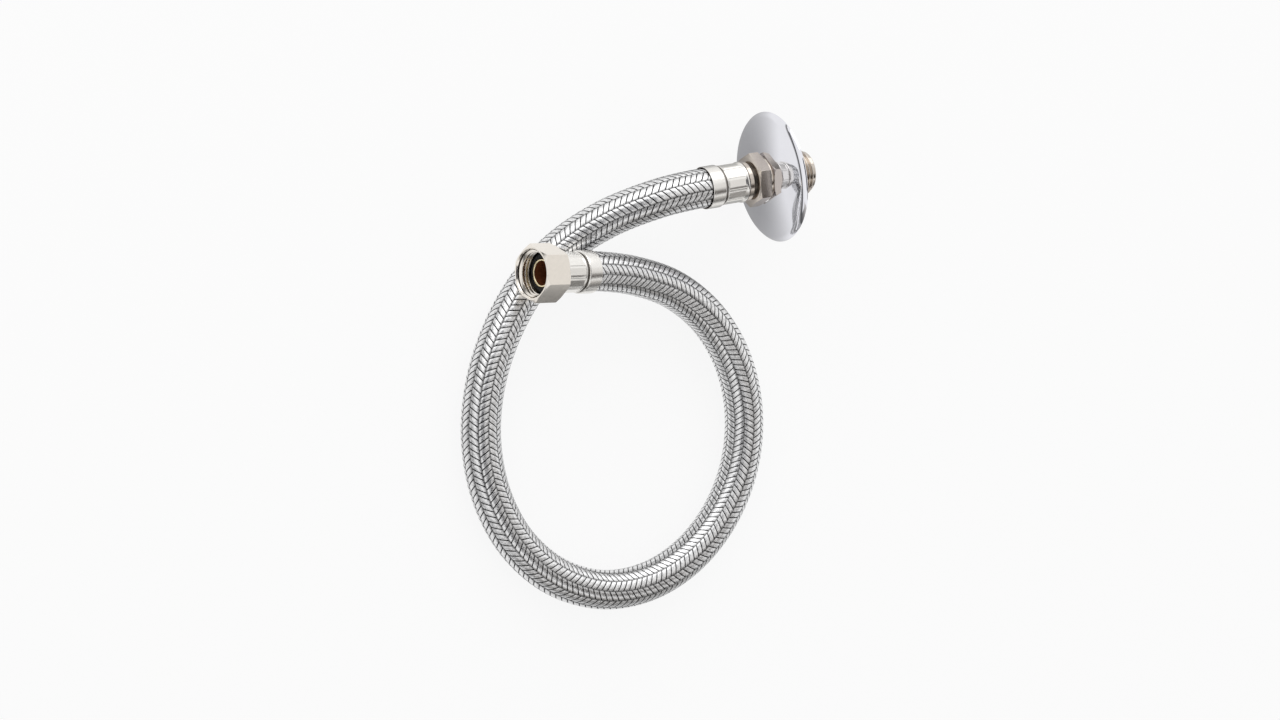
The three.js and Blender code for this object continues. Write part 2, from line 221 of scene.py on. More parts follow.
def wind_thread(bm, start, turns, root, crest, steps_a_turn=60):
    """A rounded right-handed ridge from root to crest. An inside thread's crest is the smaller."""
    foot = root + (-THREAD_SINK if crest > root else THREAD_SINK)
    rise = crest - root
    flank = [(0.46, foot), (0.3, root + 0.3 * rise), (0.1, root + 0.93 * rise)]
    section = [(-share, radius) for share, radius in flank] + [(0, crest)] + flank[::-1]
    before = set(bm.verts)
    ring, edges = draw_loop(bm, [(start + share * THREAD_PITCH, 0, radius)
                                 for share, radius in section])
    bmesh.ops.spin(bm, geom=ring + edges, cent=(0, 0, 0), axis=(1, 0, 0),
                   dvec=(THREAD_PITCH / steps_a_turn * MM, 0, 0), angle=2 * math.pi * turns,
                   steps=int(turns * steps_a_turn), use_merge=False, use_duplicate=False)
    ridge = [v for v in bm.verts if v not in before]
    ends = [e for e in bm.edges if e.is_boundary and e.verts[0] not in before]
    bmesh.ops.holes_fill(bm, edges=ends, sides=0)
    for v in ridge:
        radius = math.hypot(v.co.y, v.co.z)
        part = math.atan2(-v.co.y, v.co.z) / (2 * math.pi)
        turn = part + round((v.co.x / MM - start) / THREAD_PITCH - part)
        share = min(1, max(0.02, min(turn, turns - turn) / FADING_TURNS))
        new = foot * MM + (radius - foot * MM) * share
        v.co.y *= new / radius
        v.co.z *= new / radius


# %% [markdown]
# ## The hose's route
# The hose keeps the loop of the photograph: it leaves the wall fitting, bends down to the floor,
# runs round in one loop and climbs over its own first stretch in a long low hump. The points are
# the solids' own, so the woven sleeve lies where they are. A centripetal Catmull-Rom curve passes
# through all of them without overshooting.

# %% The hose's centreline
HOSE_RADIUS = 9
lying_height = 9.05
floor_gap = 0.02
wall_mouth = Vector((-27.55, 0, 30))
tap_mouth = Vector((-90.1, -28.6, 27.37566))
tap_plan, tap_rise = math.radians(172.8), math.radians(11.5)
tap_direction = Vector((math.cos(tap_rise) * math.cos(tap_plan),
                        math.cos(tap_rise) * math.sin(tap_plan), math.sin(tap_rise)))
straight_lead = 6
loop_points = [
    (-51.5, -1.5, 19.2), (-73.9, -7.1, 10.3), (-94.7, -17.4, 2.1), (-113.6, -32.1, 0),
    (-129.4, -50.8, 0), (-140.9, -72.6, 0), (-146.6, -96.5, 0), (-145.4, -120.8, 0),
    (-136.6, -143.7, 0), (-120, -162, 0), (-97.7, -172.6, 0), (-73.8, -173.5, 0),
    (-50.7, -165.6, 0), (-31.4, -150.3, 0.1), (-18.1, -129.7, 0.6), (-12.5, -106, 1.8),
    (-15.3, -82.1, 3.8), (-26.1, -60.8, 6.5), (-43.5, -44.4, 9.8), (-65.3, -34.2, 13.8),
]
knots = [wall_mouth, wall_mouth - Vector((straight_lead, 0, 0))]
knots += [Vector((x, y, lying_height + lift)) for x, y, lift in loop_points]
knots += [tap_mouth - tap_direction * straight_lead, tap_mouth]


def curve_through(points, steps=24):
    """A centripetal Catmull-Rom curve as a list of close points."""
    points = [np.array(p) for p in points]
    ends = [2 * points[0] - points[1]] + points + [2 * points[-1] - points[-2]]
    line = []
    for a, b, c, d in zip(ends, ends[1:], ends[2:], ends[3:]):
        t1, t2, t3 = (np.linalg.norm(q - p) ** 0.5 for p, q in ((a, b), (b, c), (c, d)))
        m1 = ((b - a) / t1 - (c - a) / (t1 + t2) + (c - b) / t2) * t2
        m2 = ((c - b) / t2 - (d - b) / (t2 + t3) + (d - c) / t3) * t2
        cubic = 2 * b - 2 * c + m1 + m2
        square = -3 * b + 3 * c - 2 * m1 - m2
        for i in range(steps):
            t = i / steps
            line.append(cubic * t ** 3 + square * t ** 2 + m1 * t + b)
    line.append(points[-1])
    return np.array(line) * MM


centreline = curve_through(knots)
centreline[:, 2] = np.maximum(centreline[:, 2], (HOSE_RADIUS + floor_gap) * MM)
gaps = np.linalg.norm(np.diff(centreline, axis=0), axis=1)
hose_length = float(gaps.sum())
print("hose between its ferrules:", round(hose_length, 4), "m")

# %% [markdown]
# Anything that is wrapped round the hose needs a direction "out" at every place along it. Carrying
# one direction along the curve and only tilting it as the curve turns keeps the weave from twisting
# by itself.

# %% Directions along the centreline
reach_inside = 0.005
places = np.concatenate([[0], np.cumsum(gaps)])
tangents = np.gradient(centreline, places, axis=0)
tangents[0] = (-1, 0, 0)
tangents[-1] = tap_direction
tangents /= np.linalg.norm(tangents, axis=1)[:, None]
outs = [np.array((0.0, 0.0, 1.0))]
for before, after in zip(tangents, tangents[1:]):
    carried = outs[-1] - after * outs[-1].dot(after)
    outs.append(carried / np.linalg.norm(carried))
outs = np.array(outs)
sides = np.cross(tangents, outs)


def wrap_round_hose(flat):
    """Takes points of (place along, way round, radius) in metres to the hose in its loop."""
    along = np.clip(flat[:, 0], 0, hose_length)
    beyond = flat[:, 0] - along
    middle, ahead, out, side = (np.stack([np.interp(along, places, row) for row in table.T], 1)
                                for table in (centreline, tangents, outs, sides))
    angle = flat[:, 1] / (HOSE_RADIUS * MM)
    radius = flat[:, 2][:, None]
    return (middle + ahead * beyond[:, None]
            + radius * (out * np.cos(angle)[:, None] + side * np.sin(angle)[:, None]))


# %% [markdown]
# ## The woven sleeve
# The sleeve is braided from 24 flat bundles of fine wire, 12 wound each way. Each bundle passes
# over two others and then under two. That makes the herringbone columns that run along the hose,
# with a small dark hole at each point. It could be painted on with a bump map, but the outline of
# the hose is bumpy too, so the bundles are real mesh. The weave is made flat: one period of one
# bundle is extruded step by step, then repeated like a tile by duplicating the whole mat. After
# that the mat is rolled round the hose.

# %% One period of one bundle
COLUMNS = 12
column_width = 2 * math.pi * HOSE_RADIUS / COLUMNS
bundle_pitch = 2.8
bundle_width = bundle_pitch * 0.89
bundle_thickness = 0.26
bundle_crown = 0.1
dive = 0.18
squareness = 2.2
steps_a_period = 10
sleeve_middle = HOSE_RADIUS - bundle_thickness / 2 - bundle_crown - dive


def weave_height(way):
    """How far a bundle lies above the sleeve's middle: over two neighbours, then under two."""
    wave = math.cos((way - column_width / 4) * math.pi / column_width)
    return dive * math.tanh(squareness * wave) / math.tanh(squareness)


def bundle_section():
    """The flat bundle's section as (offset along the hose, height), crowned on top."""
    half = bundle_thickness / 2
    top = [(share * bundle_width / 2, half + bundle_crown * (1 - share ** 2))
           for share in (-1, -0.55, 0, 0.55, 1)]
    return top + [(0.9 * bundle_width / 2, -half), (-0.9 * bundle_width / 2, -half)]


def only(kind, parts):
    """The verts, edges or faces among what a bmesh operator returns."""
    return [part for part in parts if isinstance(part, kind)]


def weave_bundle(bm, lean, uv):
    """Extrudes one period of a bundle that leans one way (lean 1) or the other (lean -1)."""
    slope = lean * bundle_pitch / column_width
    start_height = sleeve_middle + lean * weave_height(0)
    edges = draw_loop(bm, [(offset, 0, start_height + height)
                           for offset, height in bundle_section()])[1]
    step = 2 * column_width / steps_a_period
    for i in range(steps_a_period):
        made = bmesh.ops.extrude_edge_only(bm, edges=edges)["geom"]
        verts = only(bmesh.types.BMVert, made)
        edges = [e for e in only(bmesh.types.BMEdge, made) if all(v in verts for v in e.verts)]
        climb = lean * (weave_height((i + 1) * step) - weave_height(i * step))
        bmesh.ops.translate(bm, verts=verts, vec=(slope * step * MM, step * MM, climb * MM))
        for face in only(bmesh.types.BMFace, made):
            for loop in face.loops:
                along, way = loop.vert.co.x / MM, loop.vert.co.y / MM
                loop[uv].uv = ((along - slope * way) / bundle_width + 0.5,
                               way / column_width + (1 - lean) / 2)


# %% [markdown]
# The bundle is copied round the hose, and the row of copies is doubled along it until it is long
# enough. The mat starts before the hose and ends after it, and both ends are cut straight, so that
# no bundle ends short under a ferrule.

# %% Repeat it into a mat and roll the mat round the hose
def repeat(bm, parts, step):
    """Copies the parts and moves the copies by a step in metres."""
    copied = bmesh.ops.duplicate(bm, geom=parts)["geom"]
    bmesh.ops.translate(bm, verts=only(bmesh.types.BMVert, copied), vec=step)


def everything(bm):
    return bm.verts[:] + bm.edges[:] + bm.faces[:]


def make_braid(name, lean):
    """All the bundles that lean one way, rolled round the hose and closed at both ends."""
    bm = bmesh.new()
    weave_bundle(bm, lean, bm.loops.layers.uv.new("bundle"))
    bundle = everything(bm)
    for column in range(1, COLUMNS // 2):
        repeat(bm, bundle, (0, 2 * column * column_width * MM, 0))
    spare = 2 * bundle_pitch
    needed = hose_length + 2 * reach_inside + 4 * spare * MM
    first_row = math.floor((-reach_inside - 2 * spare * MM) / MM / bundle_pitch)
    bmesh.ops.translate(bm, verts=bm.verts, vec=(first_row * bundle_pitch * MM, 0, 0))
    rows = 1
    while rows * bundle_pitch * MM < needed:
        repeat(bm, everything(bm), (rows * bundle_pitch * MM, 0, 0))
        rows *= 2
    for end, outwards in ((-reach_inside, -1), (hose_length + reach_inside, 1)):
        bmesh.ops.bisect_plane(bm, geom=everything(bm), dist=1e-7, plane_co=(end, 0, 0),
                               plane_no=(outwards, 0, 0), clear_outer=True)
    points = wrap_round_hose(np.array([v.co for v in bm.verts]))
    for vert, point in zip(bm.verts, points):
        vert.co = point
    bmesh.ops.remove_doubles(bm, verts=bm.verts, dist=0.01 * MM)
    bmesh.ops.holes_fill(bm, edges=[e for e in bm.edges if e.is_boundary], sides=0)
    return finish_piece(bm, name, "hose")


braid_right = make_braid("braid_right", 1)
braid_left = make_braid("braid_left", -1)

# %% [markdown]
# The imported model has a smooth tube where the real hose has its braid. Both halves of the weave are
# the same steel, and together they take that tube's place.

# %% Put the weave in the tube's place
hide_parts("hose_braid")

# %% [markdown]
# ## The wall fitting
# Every turned piece is drawn from the mouth of its ferrule, along the X axis, and then moved to its
# end of the hose. The wall end is level. The tap end points where the hose arrives, a little
# upwards.

# %% Places of the two ends
FERRULE_LENGTH = 19.4
FIT = 0.3
wall_place = Matrix.Translation(wall_mouth * MM)
tap_side = Vector((0, 0, 1)).cross(tap_direction).normalized()
tap_up = tap_direction.cross(tap_side)
tap_turn = Matrix((tap_direction, tap_side, tap_up)).transposed().to_4x4()
tap_place = Matrix.Translation(tap_mouth * MM) @ tap_turn
print("ends at", [round(v, 1) for v in wall_mouth], "and", [round(v, 1) for v in tap_mouth], "mm")

# %% [markdown]
# Both fittings have the same tail, which is pushed into the hose. The wall fitting is turned from
# one bar: a collar that the ferrule is pressed against, a neck, a hexagon for the spanner with its
# corners turned down on the hose side, and a pipe thread. The thread is wound on a plain bar of the
# root's size.

# %% The wall nipple
BORE_RADIUS = 5.35
TAIL_START, TAIL_END = 1.4, 17.9
TAIL_RADIUS, SHANK_RADIUS = 5.95, 6.7
FITTING_START = 19.7
tail = [(TAIL_START, TAIL_RADIUS), (TAIL_END, TAIL_RADIUS), (TAIL_END, SHANK_RADIUS),
        (FITTING_START, SHANK_RADIUS)]

HEX_ACROSS = 22
collar_end, collar_radius, neck_radius = 21.7, 9.3, 8
hex_start, hex_end, nipple_end = 23.6, 29.8, 55.1
hex_corner = HEX_ACROSS / math.sqrt(3) + FIT
thread_lead = 0.6
bm = bmesh.new()
spin_outline(bm, tail + [
    (FITTING_START, collar_radius), (collar_end, collar_radius), (collar_end, neck_radius),
    (hex_start, neck_radius), (hex_start, 10.4), (hex_start + 0.3, 11), (hex_start + 0.55, 11.5),
    (hex_start + 1.1, hex_corner), (hex_end - 0.7, hex_corner), (hex_end, 11.6),
    (hex_end, THREAD_ROOT), (nipple_end - thread_lead, THREAD_ROOT),
    (nipple_end, THREAD_ROOT - thread_lead),
    (nipple_end, BORE_RADIUS), (TAIL_START, BORE_RADIUS),
])
cut_flats(bm, 6, HEX_ACROSS, hex_start, hex_end, turn=13)
nipple_body = finish_piece(bm, "nipple_body", "hose", wall_place)
soften_edges(nipple_body, 0.22 * MM)
bm = bmesh.new()
wind_thread(bm, hex_end + 2.6, 11.6, THREAD_ROOT, THREAD_CREST)
nipple_thread = finish_piece(bm, "nipple_thread", "hose", wall_place)
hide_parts("wall_nipple")

# %% [markdown]
# ## The wall plate
# The plate is a thin disc pressed to a shallow dome, with a rim that curls back to the wall and a
# round hole. Its outline is a wide arc and a tight one, outside and inside. It gets many steps
# round, because a mirror shows every facet.

# %% The wall plate
PLATE_RADIUS = 30
DOME_RADIUS = 80
DOME_REACH = 27.6
HOLE_RADIUS = 10.9
SHEET = 0.8
plate_to_hex = 0.8
rim_land = 0.25
reach_angle = math.asin(DOME_REACH / DOME_RADIUS)
edge_angle = math.radians(60)
bend_radius = (PLATE_RADIUS - DOME_REACH) / (math.sin(edge_angle) - math.sin(reach_angle))
bend_middle = (DOME_RADIUS - bend_radius) * math.sin(reach_angle)
bend_along = bend_radius * math.cos(edge_angle)
dome_along = bend_along + (DOME_RADIUS - bend_radius) * math.cos(reach_angle)


def plate_face(inset):
    """One face of the plate from its hole to its rim, as (along, radius) from where its edge ends."""
    skin, bend = DOME_RADIUS - inset, bend_radius - inset
    points = [(dome_along - skin * math.cos(a), skin * math.sin(a))
              for a in np.linspace(math.asin(HOLE_RADIUS / skin), reach_angle, 24)]
    points += [(bend_along - bend * math.cos(a), bend_middle + bend * math.sin(a))
               for a in np.linspace(reach_angle, math.acos(bend_along / bend), 13)[1:]]
    return points


outer, inner = plate_face(0), plate_face(SHEET)
plate_shift = hex_end + plate_to_hex - outer[0][0]
rim = plate_shift + rim_land
outline = [(a + plate_shift, r) for a, r in outer] + [(rim, PLATE_RADIUS), (rim, inner[-1][1])]
outline += [(a + plate_shift, r) for a, r in reversed(inner)]
bm = bmesh.new()
spin_outline(bm, outline, steps=256)
plate = finish_piece(bm, "chrome_wall_plate", "plate", wall_place, sharp=40)
soften_edges(plate, 0.1 * MM, segments=3, angle=45)
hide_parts("wall_plate")
print("plate rim at", round(rim + wall_mouth.x, 3), "mm")

# %% [markdown]
# ## The ferrules
# A ferrule is a pressed sleeve of thin stainless sheet. Its mouth stays wide, and behind it a press
# crimps it down on the hose and the stem. The jaws leave faint flats with thin ridges between them,
# and the far edge flares out a little against the fitting.

# %% The outline of a ferrule
WALL = 0.45
MOUTH_RADIUS, CRIMP_RADIUS = 9.75, 8.9
CRIMP_START, CRIMP_END = 7, 17.5
shoulder, ring = 0.8, 0.45
end_hole, end_wall_start, crimp_inside = 7, 18.6, 8.31
groove_radius = CRIMP_RADIUS - 0.14
ferrule_outline = (
    [(0, MOUTH_RADIUS - 0.12), (0.12, MOUTH_RADIUS)]
    + arc((CRIMP_START - shoulder, MOUTH_RADIUS - shoulder), shoulder, 90, 8, 6)
    + [(CRIMP_START, groove_radius), (CRIMP_START + 0.9, groove_radius)]
    + arc((CRIMP_START + 1.35, CRIMP_RADIUS - 0.2), ring, 160, 20, 6)
    + [(CRIMP_START + 2.1, CRIMP_RADIUS), (CRIMP_START + 6, CRIMP_RADIUS),
       (CRIMP_END, CRIMP_RADIUS), (CRIMP_END + 0.5, CRIMP_RADIUS + 0.12),
       (CRIMP_END + 1.1, CRIMP_RADIUS + 0.42),
       (FERRULE_LENGTH - 0.35, CRIMP_RADIUS + 0.5), (FERRULE_LENGTH, CRIMP_RADIUS + 0.4),
       (FERRULE_LENGTH, end_hole), (end_wall_start, end_hole), (end_wall_start, crimp_inside),
       (6.55, crimp_inside), (5.75, MOUTH_RADIUS - WALL), (0, MOUTH_RADIUS - WALL)])
print("ferrule outline:", len(ferrule_outline), "points")

# %% [markdown]
# The jaws' marks are made by moving the vertices of the turned sleeve: inwards to a flat in the
# middle of each jaw, and outwards by a hair where two jaws meet.

# %% The two ferrules
JAWS = 10
jaw_turn = 2 * math.pi / JAWS
flat_distance = CRIMP_RADIUS * math.cos(math.radians(10)) * MM
ridge_from = math.radians(17)
ridge_rise = 0.13


def make_ferrule(name, node, place):
    """Turns a sleeve, presses the jaws' marks in it and puts it at its end of the hose."""
    bm = bmesh.new()
    spin_outline(bm, ferrule_outline, steps=180)
    for v in bm.verts:
        along, radius = v.co.x / MM, math.hypot(v.co.y, v.co.z)
        if CRIMP_START + 1.9 < along < CRIMP_END + 0.2 and radius > 8.6 * MM:
            angle = math.atan2(v.co.z, v.co.y) % jaw_turn - jaw_turn / 2
            share = min(radius, flat_distance / math.cos(angle)) / radius
            if abs(angle) > ridge_from:
                share = 1 + ridge_rise * MM / radius
            v.co.y *= share
            v.co.z *= share
    piece = finish_piece(bm, name, "hose", place, sharp=9)
    soften_edges(piece, 0.08 * MM, segments=2, angle=50)
    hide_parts(node)
    return piece


wall_ferrule = make_ferrule("pressed_wall_ferrule", "wall_ferrule", wall_place)
tap_ferrule = make_ferrule("pressed_tap_ferrule", "tap_ferrule", tap_place)

# %% [markdown]
# ## The tap end
# The stem is a short brass tube with its tail in the hose, a flange for the nut to pull on, and a
# nose that carries the rubber washer. Only the nose shows, so the barbs of the tail are left to the
# solids.

# %% The tap stem and its washer
flange_start, flange_end = 22.1, 23.6
flange_radius, stem_radius, nose_radius = 8.95, 7.3, 6.35
nose_end = 27.2
bm = bmesh.new()
spin_outline(bm, tail + [
    (FITTING_START, stem_radius), (flange_start, stem_radius), (flange_start, flange_radius),
    (flange_end, flange_radius), (flange_end, nose_radius), (26.9, nose_radius), (nose_end, 6.1),
    (nose_end, 5.6), (26.95, BORE_RADIUS), (TAIL_START, BORE_RADIUS),
])
stem = finish_piece(bm, "brass_tap_stem", "hose", tap_place)
soften_edges(stem, 0.12 * MM)
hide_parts("tap_stem")

washer_start, washer_end = 23.9, 25.9
bm = bmesh.new()
spin_outline(bm, [(washer_start, flange_radius), (washer_end, flange_radius),
                  (washer_end, nose_radius + FIT), (washer_start, nose_radius + FIT)], steps=96)
washer = finish_piece(bm, "rubber_washer", "hose", tap_place)
soften_edges(washer, 0.25 * MM)
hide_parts("sealing_washer")

# %% [markdown]
# The nut is a hexagon whose front is turned to a round lip. Its back wall has a hole that is
# smaller than the stem's flange, so the nut can't come off. The inside is bored to the thread's
# outside size, and the ridge is wound in it.

# %% The union nut
NUT_ACROSS = 23
nut_start, nut_end = 20, 32.9
nut_corner = NUT_ACROSS / math.sqrt(3) + FIT
nut_hole = 7.6
back_wall_end = nut_start + 1.8
thread_length = 3 * THREAD_PITCH
relief_start = nut_end - 1 - thread_length - 1.2
bm = bmesh.new()
spin_outline(bm, [
    (nut_start, 11.9), (nut_start + 0.9, nut_corner), (nut_end - 1.2, nut_corner), (nut_end, 11.7),
    (nut_end, 10.95), (nut_end - 0.6, THREAD_CREST), (relief_start, THREAD_CREST),
    (relief_start, THREAD_ROOT), (back_wall_end, THREAD_ROOT), (back_wall_end, nut_hole),
    (nut_start, nut_hole),
])
cut_flats(bm, 6, NUT_ACROSS, nut_start, nut_end, turn=5.75)
nut = finish_piece(bm, "nickel_union_nut", "nut", tap_place)
soften_edges(nut, 0.2 * MM)
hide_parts("union_nut")
bm = bmesh.new()
wind_thread(bm, nut_end - 1.4 - thread_length, 3, THREAD_CREST, THREAD_ROOT)
nut_thread = finish_piece(bm, "nut_thread", "nut", tap_place)

# %% [markdown]
# ## Finishes
# A finish is a small network of nodes: noise and sums go in, and colour, roughness and bump come
# out. The same few nodes come back in every finish, so a helper makes each of them in one call, and
# a formula can then be read as a formula. The noise is read from the object's own coordinates, so
# the marks stay on the metal from wherever it is seen.

# %% Short calls for the nodes that the finishes share
class Wiring:
    """Makes nodes for one material or world and joins them."""

    def __init__(self, owner):
        owner.use_nodes = True
        self.nodes = owner.node_tree.nodes
        self.links = owner.node_tree.links

    def join(self, value, socket):
        """Leads another node's output to the socket, or puts a plain value in it."""
        if isinstance(value, bpy.types.NodeSocket):
            self.links.new(value, socket)
        else:
            socket.default_value = value

    def maths(self, operation, *values):
        node = self.nodes.new("ShaderNodeMath")
        node.operation = operation
        for value, socket in zip(values, node.inputs):
            self.join(value, socket)
        return node.outputs["Value"]

    def to_range(self, value, low, high, to_low, to_high, kind="SMOOTHSTEP"):
        """Low becomes to_low and high becomes to_high, with a soft or a straight (LINEAR) change."""
        node = self.nodes.new("ShaderNodeMapRange")
        node.interpolation_type = kind
        numbers = {"From Min": low, "From Max": high, "To Min": to_low, "To Max": to_high}
        for name, number in numbers.items():
            node.inputs[name].default_value = number
        self.join(value, node.inputs["Value"])
        return node.outputs["Result"]

    def object_place(self):
        return self.nodes.new("ShaderNodeTexCoord").outputs["Object"]

    def parts_of(self, vector):
        node = self.nodes.new("ShaderNodeSeparateXYZ")
        self.join(vector, node.inputs["Vector"])
        return node.outputs

    def noise(self, scale, detail):
        node = self.nodes.new("ShaderNodeTexNoise")
        node.inputs["Scale"].default_value = scale
        node.inputs["Detail"].default_value = detail
        self.join(self.object_place(), node.inputs["Vector"])
        return node.outputs["Fac"]

    def scaled_colour(self, colour, share):
        node = self.nodes.new("ShaderNodeVectorMath")
        node.operation = "SCALE"
        node.inputs[0].default_value = colour
        self.join(share, node.inputs["Scale"])
        return node.outputs["Vector"]

    def distance_from(self, centre):
        node = self.nodes.new("ShaderNodeVectorMath")
        node.operation = "DISTANCE"
        node.inputs[1].default_value = centre
        self.join(self.object_place(), node.inputs[0])
        return node.outputs["Value"]

    def bump(self, height, strength, distance):
        node = self.nodes.new("ShaderNodeBump")
        node.inputs["Strength"].default_value = strength
        node.inputs["Distance"].default_value = distance
        self.join(height, node.inputs["Height"])
        return node.outputs["Normal"]


# %% [markdown]
# All the metals are bare or plated, so each is the same kind of material: a metallic surface whose
# colour, roughness and fine bump come from noise at the size of the real marks. Only the numbers
# differ. The last three are painted shade: dark copies of the metals for hollows where shade falls.

# %% The metals
def metal(name, colour, spread, roughness, rough_spread, grain, bump, metallic=1):
    """Colour and roughness vary by their spread, over marks of the grain's size in metres."""
    material = bpy.data.materials.new(name)
    tree = Wiring(material)
    surface = tree.nodes["Principled BSDF"].inputs
    surface["Metallic"].default_value = metallic
    marks = tree.noise(1 / grain, 4)
    tint = tree.to_range(marks, 0, 1, 1 - spread, 1 + spread, "LINEAR")
    tree.join(tree.scaled_colour(colour, tint), surface["Base Color"])
    rough = tree.to_range(marks, 0, 1, roughness - rough_spread, roughness + rough_spread, "LINEAR")
    tree.join(rough, surface["Roughness"])
    tree.join(tree.bump(marks, bump, 0.02 * MM), surface["Normal"])
    print("metal:", name)
    return material


chrome = metal("mirror_chrome", (0.82, 0.82, 0.86), 0.02, 0.05, 0.015, 0.004, 0.01)
nickel = metal("satin_nickel", (0.87, 0.82, 0.75), 0.05, 0.17, 0.05, 0.0012, 0.06)
stainless = metal("pressed_stainless", (0.86, 0.84, 0.805), 0.03, 0.24, 0.04, 0.001, 0.03)
brass = metal("pale_brass", (0.9, 0.78, 0.52), 0.05, 0.22, 0.05, 0.0015, 0.08)
warm_nickel = metal("warm_nickel", (0.6, 0.545, 0.49), 0.08, 0.18, 0.05, 0.0009, 0.1)
# Painted shade: these three are dark copies of brass, nickel and stainless for the shaded hollows.
painted_shade_brass = metal("painted_shade_brass_bore", (0.2, 0.06, 0.018), 0.3, 0.6, 0.1, 0.001, 0.1, metallic=0.2)
painted_shade_nickel = metal("painted_shade_nickel_hollow", (0.12, 0.11, 0.1), 0.2, 0.3, 0.08, 0.001, 0.1)
painted_shade_stainless = metal("painted_shade_stainless_groove", (0.2, 0.185, 0.17), 0.2, 0.35, 0.08, 0.001, 0.1)

# %% [markdown]
# The bundles of the sleeve are several fine wires laid side by side. A wave across each bundle's
# own width, read from its UV map, raises the wires and darkens the lines between them with painted
# shade, and the bundle's edges get painted shade too. The map's other direction tells where the
# bundle dives under its neighbours, and there it gets painted shade, because little light reaches
# it. Noise makes some wires brighter than others.

# %% The braid's wires
WIRES = 5
WIRE_HEIGHT = 0.08 * MM


def wire_material():
    material = bpy.data.materials.new("braided_wire")
    tree = Wiring(material)
    surface = tree.nodes["Principled BSDF"].inputs
    surface["Metallic"].default_value = 1
    bundle = tree.nodes.new("ShaderNodeUVMap")
    bundle.uv_map = "bundle"
    spread = tree.parts_of(bundle.outputs["UV"])
    across, way = spread["X"], spread["Y"]
    wave = tree.maths("SINE", tree.maths("MULTIPLY", across, WIRES * math.pi))
    rounded = tree.maths("ABSOLUTE", wave)
    from_middle = tree.maths("ABSOLUTE", tree.maths("SUBTRACT", across, 0.5))
    from_crossing = tree.maths("SUBTRACT", way, 0.25)
    over = tree.maths("COSINE", tree.maths("MULTIPLY", from_crossing, math.pi))
    uneven = tree.noise(900, 2)
    # Painted shade: darker between the wires, at the bundle's edges and where the bundle dives under.
    shade = tree.to_range(rounded, 0, 0.7, 0.5, 1.05)
    for darker in (tree.to_range(from_middle, 0.38, 0.49, 1, 0.05),
                   tree.to_range(over, -0.2, 0.5, 0.03, 1),
                   tree.to_range(uneven, 0.35, 0.65, 0.8, 1.1)):
        shade = tree.maths("MULTIPLY", shade, darker)
    tree.join(tree.scaled_colour((0.94, 0.94, 0.945), shade), surface["Base Color"])
    tree.join(tree.to_range(uneven, 0.2, 0.8, 0.2, 0.32), surface["Roughness"])
    tree.join(tree.bump(rounded, 0.4, WIRE_HEIGHT), surface["Normal"])
    return material


wire = wire_material()
print("wires in a bundle:", WIRES)

# %% [markdown]
# Rubber is a dark, rough surface with a faint powdery mottling, so it gets its own short material:
# noise picks a colour between two blacks.

# %% Black rubber
def rubber_material():
    material = bpy.data.materials.new("black_rubber")
    tree = Wiring(material)
    surface = tree.nodes["Principled BSDF"].inputs
    mottling = tree.noise(900, 5)
    ramp = tree.nodes.new("ShaderNodeValToRGB")
    ramp.color_ramp.elements[0].color = (0.012, 0.012, 0.013, 1)
    ramp.color_ramp.elements[1].color = (0.035, 0.034, 0.033, 1)
    tree.join(mottling, ramp.inputs["Fac"])
    tree.join(ramp.outputs["Color"], surface["Base Color"])
    tree.join(tree.to_range(mottling, 0, 1, 0.5, 0.75, "LINEAR"), surface["Roughness"])
    return material


rubber = rubber_material()
print("rubber:", rubber.name)

# %% [markdown]
# Each piece gets one finish for all its faces. The hollows then get a second one of painted shade,
# a much darker copy of their metal: the bore of the brass stem, the inside of the nut, the neck of
# the wall fitting, and the groove and the mouth of both ferrules. A face belongs to a hollow when its
# middle lies between two places along the piece and two radii.

# %% Give every piece its finish
finishes = {
    braid_right: wire, braid_left: wire, nipple_body: warm_nickel, nipple_thread: warm_nickel,
    plate: chrome, wall_ferrule: stainless, tap_ferrule: stainless, stem: brass, washer: rubber,
    nut: nickel, nut_thread: nickel, frame["nodes"]["hose_liner"]: rubber,
}
for piece, finish in finishes.items():
    piece.data.materials.clear()
    piece.data.materials.append(finish)
ferrule_hollows = [(6.9, 8, 8, 9), (-1, 6, 9, 9.58)]
hollows = [
    (stem, tap_place, painted_shade_brass, [(0, 27, 0, 5.5)]),
    (nut, tap_place, painted_shade_nickel, [(20.5, 32, 7, 10.6)]),
    (nipple_body, wall_place, painted_shade_nickel, [(21.8, 23.5, 7, 8.6)]),
    (wall_ferrule, wall_place, painted_shade_stainless, ferrule_hollows),
    (tap_ferrule, tap_place, painted_shade_stainless, ferrule_hollows),
]
# Painted shade: the faces in these hollows get the dark copy of their metal.
for piece, place, finish, boxes in hollows:
    piece.data.materials.append(finish)
    for face in piece.data.polygons:
        middle = place.inverted() @ face.center / MM
        radius = math.hypot(middle.y, middle.z)
        face.material_index = int(any(start < middle.x < end and low < radius < high
                                      for start, end, low, high in boxes))
print("finished pieces:", len(finishes), "with hollows:", len(hollows))

# %% [markdown]
# The hose's real length and thickness are printed. It leaves the object at the wall fitting, and the
# tap end with its nut is on its far end. Both halves of the weave lie on the same line.

print("cord:", round(hose_length * 1000, 1), "mm long,", 2 * HOSE_RADIUS, "mm thick")

# %% [markdown]
# ## Floor, light and background
# The photograph is a cut-out on white, so the floor is pale and the background white. The floor is
# mostly its own plain glow to the camera, and the rest of it takes the object's shadow. Metal
# mirrors the floor too, and that glow has painted shadow and shade: in reflections it is darker below
# the loop, in the loop's middle, round the foot of the wall plate and at the left end of the table.
# The camera sees none of that.

